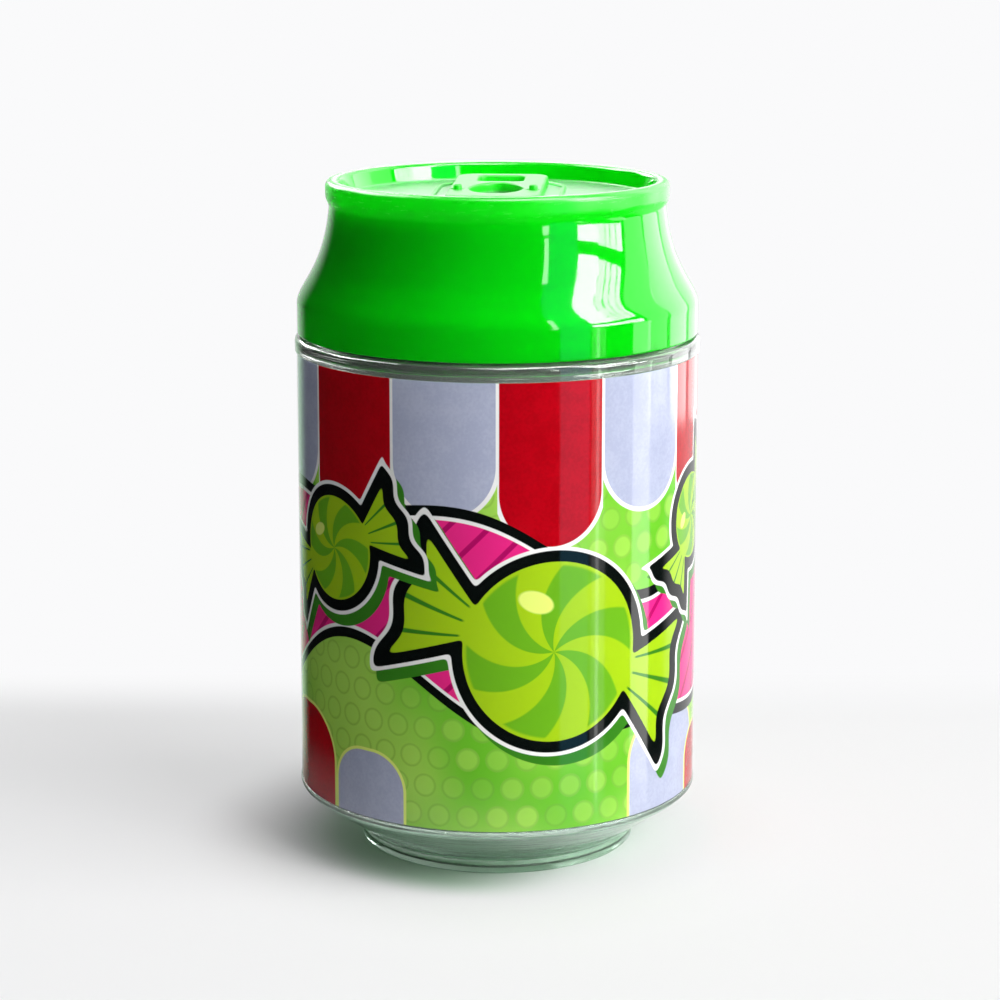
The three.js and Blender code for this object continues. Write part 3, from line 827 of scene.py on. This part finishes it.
def make_clear_can(material):
    foot_inner = FOOT_RADIUS - FOOT_WIDTH
    foot_middle = FOOT_RADIUS - FOOT_WIDTH / 2
    step_radius = FOOT_RADIUS + FOOT_STEP
    lip_bottom = LABEL_BOTTOM - LIP_HEIGHT
    panel = BODY_RADIUS - LABEL_RECESS
    bore = panel - CAN_WALL
    slope = (lip_bottom - FOOT_HEIGHT) / (BODY_RADIUS - step_radius)
    wall_rise = CAN_WALL * math.hypot(1, slope)
    inner_top = FOOT_HEIGHT + slope * (bore - step_radius) + wall_rise
    neck_bore = NECK_RADIUS - NECK_WALL
    outside = rounded_outline([
        (foot_inner, 0, 0.6 * MM),
        (FOOT_RADIUS, 0, 0.6 * MM),
        (FOOT_RADIUS, FOOT_HEIGHT - 0.3 * MM, 0.4 * MM),
        (step_radius, FOOT_HEIGHT + 0.2 * MM, 0.4 * MM),
        (BODY_RADIUS - 0.7 * MM, lip_bottom - 0.4 * MM, 0.5 * MM),
        (BODY_RADIUS, lip_bottom + 0.3 * MM, 0.5 * MM),
        (BODY_RADIUS, LABEL_BOTTOM - LABEL_END_GAP, 0.15 * MM),
        (panel, LABEL_BOTTOM - LABEL_END_GAP, 0),
        (panel, LABEL_TOP + LABEL_END_GAP, 0),
        (BAND_RADIUS, LABEL_TOP + LABEL_END_GAP, 0.2 * MM),
        (BAND_RADIUS, LEDGE, LEDGE_ROUNDING),
        (NECK_RADIUS, LEDGE, 0.4 * MM),
        (NECK_RADIUS, NECK_TOP, 0.3 * MM),
        (neck_bore, NECK_TOP, 0.3 * MM),
        (neck_bore, LEDGE - LEDGE_WALL, 0.6 * MM),
        (bore, LEDGE - LEDGE_WALL, 1.0 * MM),
        (bore, inner_top, 1.6 * MM),
        (step_radius, FOOT_HEIGHT + wall_rise, 0.8 * MM),
        (foot_middle, CAN_WALL, 0.4 * MM),
        (0, CAN_WALL, 0),
    ])[1:-1]
    bm = bmesh.new()
    floor = dome_points(DOME_HEIGHT + CAN_WALL, foot_middle, CAN_WALL)[:-1]
    spin_outline(bm, dome_points(DOME_HEIGHT, foot_inner, 0.6 * MM) + outside + floor[::-1])
    piece = finish_piece(bm, "clear_can", material, "can", "can_body")
    return weld(piece, *thread(NECK_RADIUS, NECK_RADIUS + RIDGE_DEPTH, CAN_RIDGE_START))


def make_wrap(material):
    """The film goes once round, and its end lies over its start at the back."""
    film = FILM_THICKNESS
    inner = FILM_INNER_RADIUS
    overlap = math.radians(6)
    ramp = math.radians(3)
    bm = bmesh.new()
    outer = inner + film
    corners = ((inner, LABEL_BOTTOM), (outer, LABEL_BOTTOM), (outer, LABEL_TOP), (inner, LABEL_TOP))
    face = bm.faces.new([bm.verts.new((0, radius, height)) for radius, height in corners])
    steps = ROUND_STEPS + 4
    angle = 2 * math.pi + overlap
    bmesh.ops.spin(bm, geom=[face], cent=(0, 0, 0), axis=(0, 0, 1), dvec=(0, 0, 0), angle=angle,
                   steps=steps, use_merge=False, use_duplicate=False)
    bm.verts.index_update()
    bm.verts.ensure_lookup_table()
    columns = len(bm.verts) // 4
    for i, vert in enumerate(bm.verts):
        turned = angle * (i // 4) / (columns - 1)
        lift = min(1.0, max(0.0, (turned - (2 * math.pi - ramp)) / ramp)) * film * 1.1
        move_out(vert, Vector(vert.co[:2]).length + lift)
    return finish_piece(bm, "printed_wrap", material, "can", "label_sleeve")


def make_cup(material):
    bore = FLANGE_RADIUS - 1.6 * MM
    draft = 0.6 * MM
    wall = 1.2 * MM
    bm = turned_bmesh([
        (0, CUP_BOTTOM, 0),
        (bore - draft, CUP_BOTTOM, 4 * MM),
        (bore, NECK_TOP, 0.3 * MM),
        (FLANGE_RADIUS, NECK_TOP, 0.15 * MM),
        (FLANGE_RADIUS, FLANGE_TOP, 0.25 * MM),
        (bore - wall, FLANGE_TOP, 0.5 * MM),
        (bore - draft - wall, CUP_BOTTOM + wall, 2.8 * MM),
        (0, CUP_BOTTOM + wall, 0),
    ])
    return finish_piece(bm, "hidden_cup", material, "can", "stash_cup")


def make_gasket(material):
    inner = FLANGE_RADIUS - 2.4 * MM
    bm = turned_bmesh([
        (inner, FLANGE_TOP, 0.25 * MM),
        (GASKET_RADIUS, FLANGE_TOP, 0.25 * MM),
        (GASKET_RADIUS, DISC_BOTTOM, 0.1 * MM),
        (inner, DISC_BOTTOM, 0.1 * MM),
    ], closed=True)
    return finish_piece(bm, "seal_ring", material, "seal", "seal_gasket")


def make_disc(material):
    top = DISC_BOTTOM + 1.4 * MM
    rib_middle = 18 * MM
    rib_half = 0.6 * MM
    bm = turned_bmesh([
        (0, DISC_BOTTOM, 0),
        (DISC_RADIUS, DISC_BOTTOM, 0.3 * MM),
        (DISC_RADIUS, top, 0.3 * MM),
        (rib_middle + rib_half, top, 0.4 * MM),
        (rib_middle + rib_half, top + 1.5 * MM, 0.3 * MM),
        (rib_middle - rib_half, top + 1.5 * MM, 0.3 * MM),
        (rib_middle - rib_half, top, 0.4 * MM),
        (0, top, 0),
    ])
    return finish_piece(bm, "swivel_disc", material, "seal", "seal_disc")


def shoulder(inset):
    low = Vector((LID_RADIUS - inset, LID_BOTTOM + SKIRT_STRAIGHT))
    high = Vector((RIM_RADIUS - RIM_PROUD - inset, LID_TOP - RIM_HEIGHT - NECK_STRAIGHT))
    rise = high.y - low.y
    drawn = low.x - high.x
    low_pull = Vector((low.x, low.y + rise * SHOULDER_LOW_PULL))
    high_pull = Vector((high.x + drawn * SHOULDER_HIGH_PULL[0], low.y + rise * SHOULDER_HIGH_PULL[1]))
    return bezier(low, low_pull, high_pull, high, SHOULDER_STEPS)


def arc_points(middle_x, middle_y, radius_x, radius_y, start, end, steps):
    """Points of part of an oval, in degrees from the X axis."""
    angles = [math.radians(start + (end - start) * step / steps) for step in range(steps + 1)]
    return [(middle_x + radius_x * math.cos(a), middle_y + radius_y * math.sin(a)) for a in angles]


def oval(middle_x, middle_y, width, length, steps):
    return arc_points(middle_x, middle_y, width / 2, length / 2, 0, 360, steps)[:-1]


def stadium(width, length):
    """A loop with straight sides and round ends, centred on the plate."""
    radius = width / 2
    reach = length / 2 - radius
    return (arc_points(0, TAB_MIDDLE + reach, radius, radius, 0, 180, SMALL_ROUND_STEPS)
            + arc_points(0, TAB_MIDDLE - reach, radius, radius, 180, 360, SMALL_ROUND_STEPS))


def rounded_rectangle(width, length, rounding, middle):
    corners = [(width / 2, middle + length / 2), (-width / 2, middle + length / 2),
               (-width / 2, middle - length / 2), (width / 2, middle - length / 2)]
    return [tuple(p) for p in rounded_outline([(x, y, rounding) for x, y in corners])]


def plate_bmesh(outlines, low, high, rounding):
    """A flat plate with holes in it, turned with the lid. Its upper edges are softened."""
    bm = bmesh.new()
    edges = []
    for points in outlines:
        verts = [bm.verts.new((x, y, low)) for x, y in points]
        edges += [bm.edges.new(pair) for pair in zip(verts, verts[1:] + verts[:1])]
    bmesh.ops.triangle_fill(bm, use_beauty=True, use_dissolve=False, edges=edges)
    raised = bmesh.ops.extrude_face_region(bm, geom=bm.faces[:])
    top = [v for v in raised["geom"] if isinstance(v, bmesh.types.BMVert)]
    bmesh.ops.translate(bm, verts=top, vec=(0, 0, high - low))
    bmesh.ops.recalc_face_normals(bm, faces=bm.faces)
    rim = [e for e in bm.edges if e.is_manifold and e.calc_face_angle() > math.radians(60)
           and all(v.co.z > high - JOIN_DISTANCE for v in e.verts)]
    bmesh.ops.bevel(bm, geom=rim, offset=rounding, segments=3, affect="EDGES", profile=0.5, material=-1,
                    clamp_overlap=True)
    turn = Matrix.Rotation(TAB_TURN, 3, "Z")
    bmesh.ops.rotate(bm, verts=bm.verts, cent=(0, 0, 0), matrix=turn)
    return bm


def bead_loop():
    """The raised loop moulded round the ring-pull plate."""
    width = TAB_WIDTH + 2 * LOOP_GAP
    length = TAB_LENGTH + 2 * LOOP_GAP
    grown = 2 * LOOP_THICKNESS
    outlines = [stadium(width, length), stadium(width + grown, length + grown)]
    sunk = RECESS_FLOOR - LID_WALL / 2
    return bare_object(plate_bmesh(outlines, sunk, RECESS_FLOOR + LOOP_HEIGHT, 0.3 * MM), "loop")


def post_place(side):
    return side * POST_SIDE, TAB_MIDDLE - TAB_LENGTH / 2 + POST_INSET


def locating_post(side):
    top = TAB_TOP + POST_PROUD
    bottom = RECESS_FLOOR - POST_SUNK
    bm = turned_bmesh([
        (0, bottom, 0),
        (POST_RADIUS, bottom, 0),
        (POST_RADIUS, top, 0.5 * MM),
        (0, top, 0),
    ], steps=SMALL_ROUND_STEPS)
    bmesh.ops.translate(bm, verts=bm.verts, vec=(*post_place(side), 0))
    bmesh.ops.rotate(bm, verts=bm.verts, cent=(0, 0, 0), matrix=Matrix.Rotation(TAB_TURN, 3, "Z"))
    return bare_object(bm, "post")


def make_lid(material):
    roof = RECESS_FLOOR - LID_WALL
    roof_radius = RIM_RADIUS - RIM_PROUD - LID_WALL
    recess = RIM_RADIUS - RIM_WIDTH - RECESS_DRAFT
    neck = LID_TOP - RIM_HEIGHT - NECK_STRAIGHT
    swell = neck + RIM_SWELL
    pull = Vector((0, RIM_SWELL * 0.45))
    bead = bezier(Vector((RIM_RADIUS - RIM_PROUD, neck)), Vector((RIM_RADIUS - RIM_PROUD, neck)) + pull,
                  Vector((RIM_RADIUS, swell)) - pull, Vector((RIM_RADIUS, swell)), 2 * CORNER_STEPS)
    top = rounded_outline([
        (RIM_RADIUS, swell, 0),
        (RIM_RADIUS, LID_TOP, 1.0 * MM),
        (RIM_RADIUS - RIM_WIDTH, LID_TOP, 0.85 * MM),
        (recess, RECESS_FLOOR, 0.5 * MM),
        (0, RECESS_FLOOR, 0),
    ])[1:]
    inner_wall = [Vector((min(p.x, LAND_RADIUS), p.y)) for p in shoulder(LID_WALL)
                  if LAND_HEIGHT < p.y < roof - LID_WALL / 2]
    below = rounded_outline([
        (LAND_RADIUS, LAND_HEIGHT, 0.2 * MM),
        (POCKET_RADIUS, LAND_HEIGHT, 0.2 * MM),
        (POCKET_RADIUS, SNAP_TOP, 0.2 * MM),
        (SNAP_RADIUS, SNAP_TOP, 0.25 * MM),
        (SNAP_RADIUS, SNAP_BOTTOM, 0.25 * MM),
        (SKIRT_BORE, SNAP_BOTTOM, 0.4 * MM),
        (SKIRT_BORE, LID_BOTTOM, 0.35 * MM),
        (LID_RADIUS, LID_BOTTOM, 0.35 * MM),
        (LID_RADIUS, LID_BOTTOM + SKIRT_STRAIGHT, 0),
    ])
    outline = [Vector((0, roof)), Vector((roof_radius - LID_WALL, roof))]
    outline += inner_wall[::-1] + below[:-1] + shoulder(0)[:-1] + bead + top
    bm = bmesh.new()
    spin_outline(bm, outline)
    piece = finish_piece(bm, "green_lid", material, "lid", "lid_shell")
    ridges = thread(SKIRT_BORE, NECK_RADIUS + CREST_CLEARANCE, LID_RIDGE_START)
    return weld(piece, *ridges, bead_loop(), locating_post(-1), locating_post(1))


def make_tab(material):
    """The ring-pull plate, with its slot, finger hole and the holes for its locating posts."""
    front = TAB_MIDDLE - TAB_LENGTH / 2
    slot_middle = TAB_MIDDLE + TAB_LENGTH / 2 - SLOT_INSET - SLOT_LENGTH / 2
    hole = 2 * (POST_RADIUS + POST_PLAY)
    outlines = [
        rounded_rectangle(TAB_WIDTH, TAB_LENGTH, TAB_ROUNDING, TAB_MIDDLE),
        rounded_rectangle(SLOT_WIDTH, SLOT_LENGTH, 1.2 * MM, slot_middle),
        oval(0, front + FINGER_INSET + FINGER_LENGTH / 2, FINGER_WIDTH, FINGER_LENGTH, 2 * SMALL_ROUND_STEPS),
    ]
    outlines += [oval(*post_place(side), hole, hole, SMALL_ROUND_STEPS) for side in (-1, 1)]
    bm = plate_bmesh(outlines, RECESS_FLOOR, TAB_TOP, 0.35 * MM)
    return finish_piece(bm, "ring_pull", material, "lid", "pull_tab")


# Stage and light

FLOOR_REACH = 6.0
FLOOR_FADE_START = 0.10
FLOOR_FADE_END = 0.22
TABLE_EDGE_START = 0.060
TABLE_EDGE_END = 0.094
UNDER_EDGE = 0.024
UNDER_FADE_END = 0.055
UNDER_GLOW_SHARE = 0.03
UNDER_GLOW_LEFT = 0.24
UNDER_LEFT_EDGE = (-0.014, 0.006)
NEAR_GLOW_SHARE = 0.62
FLOOR_SEEN = srgb(226, 226, 226)
FLOOR_BOUNCE = (0.58, 0.58, 0.58, 1.0)
# Colour of the green shadow painted on the floor by the can's base.
PAINTED_SHADOW_TINT = srgb(168, 198, 172)
SHADE_START = 0.026
SHADE_END = 0.035
SHADE_SIDE = 0.012
GLOSS_REACH_START = 0.02
GLOSS_REACH_END = 0.07
BACKGROUND = srgb(250, 250, 251)
ROOM_DARK = (0.012, 0.012, 0.013, 1.0)
ROOM_BRIGHT = (0.95, 0.95, 0.96, 1.0)
ROOM_LEFT = (0.66, 0.98, 0.69, 1.0)
OVERHEAD_SHARE = 0.6
ASIDE_SHARE = 0.3
AMBIENT = (0.070, 0.070, 0.072, 1.0)


def make_floor():
    """A pale floor. It keeps the shadow near the can, with a green shadow painted on it by the can's base on
    the left, and far from it is as white as the background. Gloss shows only the floor close by, and the dark
    room in the rest."""
    bm = bmesh.new()
    bmesh.ops.create_grid(bm, x_segments=1, y_segments=1, size=FLOOR_REACH)
    floor = bare_object(bm, "floor")
    material, net, shader = new_material("pale_floor")
    light = net.node("ShaderNodeLightPath").outputs
    shader.inputs["Roughness"].default_value = 0.9
    shader.inputs["Specular IOR Level"].default_value = 0.1
    x, y, _ = net.parts(net.object_place())
    away = length2(net, x, y)
    # Painted shadow: near the can's base on the left, the floor's colour is darker and green.
    shade = net.times(net.fade(away, SHADE_START, SHADE_END), net.fade(x, -SHADE_SIDE, SHADE_SIDE))
    seen = net.mix(shade, FLOOR_SEEN, PAINTED_SHADOW_TINT)
    net.feed(shader.inputs["Base Color"], net.mix(light["Is Diffuse Ray"], seen, FLOOR_BOUNCE))
    far = net.calc("MAXIMUM", net.step(away, FLOOR_FADE_START, FLOOR_FADE_END),
                   net.step(y, TABLE_EDGE_START, TABLE_EDGE_END))
    left_through = net.times(net.fade(x, *UNDER_LEFT_EDGE), light["Is Transmission Ray"])
    under = net.span(left_through, 0, 1, UNDER_GLOW_SHARE, UNDER_GLOW_LEFT)
    near = net.span(net.step(away, UNDER_EDGE, UNDER_FADE_END), 0, 1, under, NEAR_GLOW_SHARE)
    glow = net.node("ShaderNodeEmission")
    glow.inputs["Color"].default_value = BACKGROUND
    glow.inputs["Strength"].default_value = 1.0
    seen_rays = net.calc("MAXIMUM", light["Is Camera Ray"], light["Is Transmission Ray"])
    share = net.times(net.span(far, 0, 1, near, 1.0), seen_rays)
    lit = net.mix_shaders(share, shader.outputs[0], glow.outputs[0])
    reach = net.step(light["Ray Length"], GLOSS_REACH_START, GLOSS_REACH_END)
    hidden = net.node("ShaderNodeBsdfTransparent").outputs[0]
    net.set_surface(net.mix_shaders(net.times(light["Is Glossy Ray"], reach), lit, hidden))
    floor.data.materials.append(material)


def make_world():
    """White for the camera. Reflections see a dark room in front and on the left, and bright walls behind,
    a little green at the left, where light comes through the lid's edge."""
    world = bpy.data.worlds.new("room")
    bpy.context.scene.world = world
    world.use_nodes = True
    net = Net(world.node_tree)
    background = world.node_tree.nodes["Background"]
    x, y, z = net.parts(net.node("ShaderNodeTexCoord").outputs["Generated"])
    light = net.node("ShaderNodeLightPath").outputs
    back = net.step(y, 0.76, 0.93)
    right = net.times(net.step(x, 0.1, 0.5), net.step(y, 0.30, 0.50))
    overhead = net.times(net.step(z, 0.82, 0.95), OVERHEAD_SHARE)
    bright = net.calc("MAXIMUM", net.calc("MAXIMUM", back, right), overhead)
    wall = net.mix(net.step(x, -0.45, -0.10), ROOM_LEFT, ROOM_BRIGHT)
    ambient = net.mix(light["Is Diffuse Ray"], net.mix(bright, ROOM_DARK, wall), AMBIENT)
    aside = net.times(net.fade(x, -0.6, -0.1), ASIDE_SHARE)
    ahead = net.times(light["Is Transmission Ray"], net.calc("MAXIMUM", net.step(y, 0.15, 0.45), aside))
    seen = net.calc("MAXIMUM", light["Is Camera Ray"], ahead)
    net.feed(background.inputs["Color"], net.mix(seen, ambient, BACKGROUND))


LAMP_DISTANCE = 1.6

# The window, in degrees seen from the can, with a slanting bar across it
WINDOW_START = 54.5
PANES = (("left", WINDOW_START, 70, 22), ("right_0", 70, 75.4, 17), ("right_1", 76, 79.4, 17),
         ("right_2", 80, 84.4, 17), ("right_3", 85, 90, 17))
BAR_BOTTOM = 11
BAR_TOP = 17.5
BAR_SLOPE = 0.08
BAR_WIDENING = 1.4
HIGH_PANE_END = 88


def lamp(name, azimuths, elevations, radiance, diffuse=False, glossy=True, clear=False, color=(1, 1, 1)):
    """A rectangular lamp that faces the can and fills an angle, in degrees. Azimuth runs to the right of
    the camera's side of the can."""
    azimuth, elevation = (math.radians(sum(pair) / 2) for pair in (azimuths, elevations))
    spans = [math.radians(high - low) / 2 for low, high in (azimuths, elevations)]
    data = bpy.data.lights.new(name, "AREA")
    data.shape = "RECTANGLE"
    data.size = 2 * LAMP_DISTANCE * math.tan(spans[0]) * math.cos(elevation)
    data.size_y = 2 * LAMP_DISTANCE * math.tan(spans[1])
    data.energy = radiance * math.pi * data.size * data.size_y
    data.color = color
    made = bpy.data.objects.new(name, data)
    way = Vector((math.sin(azimuth) * math.cos(elevation), -math.cos(azimuth) * math.cos(elevation),
                  math.sin(elevation)))
    made.location = Vector((0, 0, LID_TOP / 2)) + way * LAMP_DISTANCE
    made.rotation_mode = "QUATERNION"
    made.rotation_quaternion = way.to_track_quat("Z", "Y")
    made.visible_camera = False
    made.visible_transmission = clear
    made.visible_diffuse = diffuse
    made.visible_glossy = glossy
    bpy.context.scene.collection.objects.link(made)


def make_lights():
    lamp("key", (52, 90), (10, 52), 7.3, diffuse=True, glossy=False)
    lamp("fill", (31, 56), (10, 52), 7.2, diffuse=True, glossy=False)
    lamp("overhead", (30, 110), (62, 84), 2.4, diffuse=True, glossy=False)
    for name, low, high, radiance in PANES:
        rise = (low - WINDOW_START) * BAR_SLOPE
        lamp(f"low_pane_{name}", (low, high), (2, BAR_BOTTOM + rise), radiance, clear=True)
        for i, (bottom, top) in enumerate(((BAR_TOP + rise * BAR_WIDENING, 29), (29, 40), (40, 50))):
            side = (low, min(high, HIGH_PANE_END))
            lamp(f"high_pane_{name}_{i}", side, (bottom, top), radiance, clear=True)
    lamp("slit_low", (30, 34), (2, 9), 9)
    lamp("slit_high", (31, 34), (10.5, 38), 9)
    lamp("blue_room", (34, 54), (-20, 50), 1.0, color=(0.12, 0.5, 0.8))
    lamp("right_wall", (92, 113), (-10.5, 50), 2.0)
    lamp("bright_wall", (113, 138), (-10.5, 50), 3.2)
    lamp("far_wall", (138, 168), (-10.5, 50), 1.5)
    lamp("sill_left", (54, 63), (-22, 0), 1.0)
    lamp("sill_left_edge", (57, 59), (-22, 0), 3.0)
    lamp("sill_right", (82, 96), (-22, 0), 3.0, clear=True)
    lamp("ceiling", (-10, 90), (58, 85), 13.5, clear=True)
    lamp("left_wall", (-165, -138), (14, 45), 9.0, clear=True)
    lamp("left_window", (-138, -106), (33, 62), 14.0, clear=True)
    lamp("back_wall", (174, 186), (8, 45), 3.0)


def main():
    make_camera()
    make_floor()
    make_world()
    make_lights()
    surface = moulded_surface_group()
    green = green_plastic(surface)
    charcoal = moulded_plastic("charcoal_plastic", surface, CHARCOAL, 0.5, grain=0.6, depth=0.03 * MM)
    natural = moulded_plastic("natural_plastic", surface, NATURAL, 0.42, grain=0.2)
    foam = moulded_plastic("pale_foam", surface, FOAM, 0.85, scuff=0.0, grain=1.5, depth=0.05 * MM)
    make_clear_can(clear_plastic(surface))
    make_wrap(printed_film())
    make_cup(charcoal)
    make_gasket(foam)
    make_disc(natural)
    make_lid(green)
    make_tab(green)
    bpy.context.scene.view_settings.view_transform = "Standard"


main()
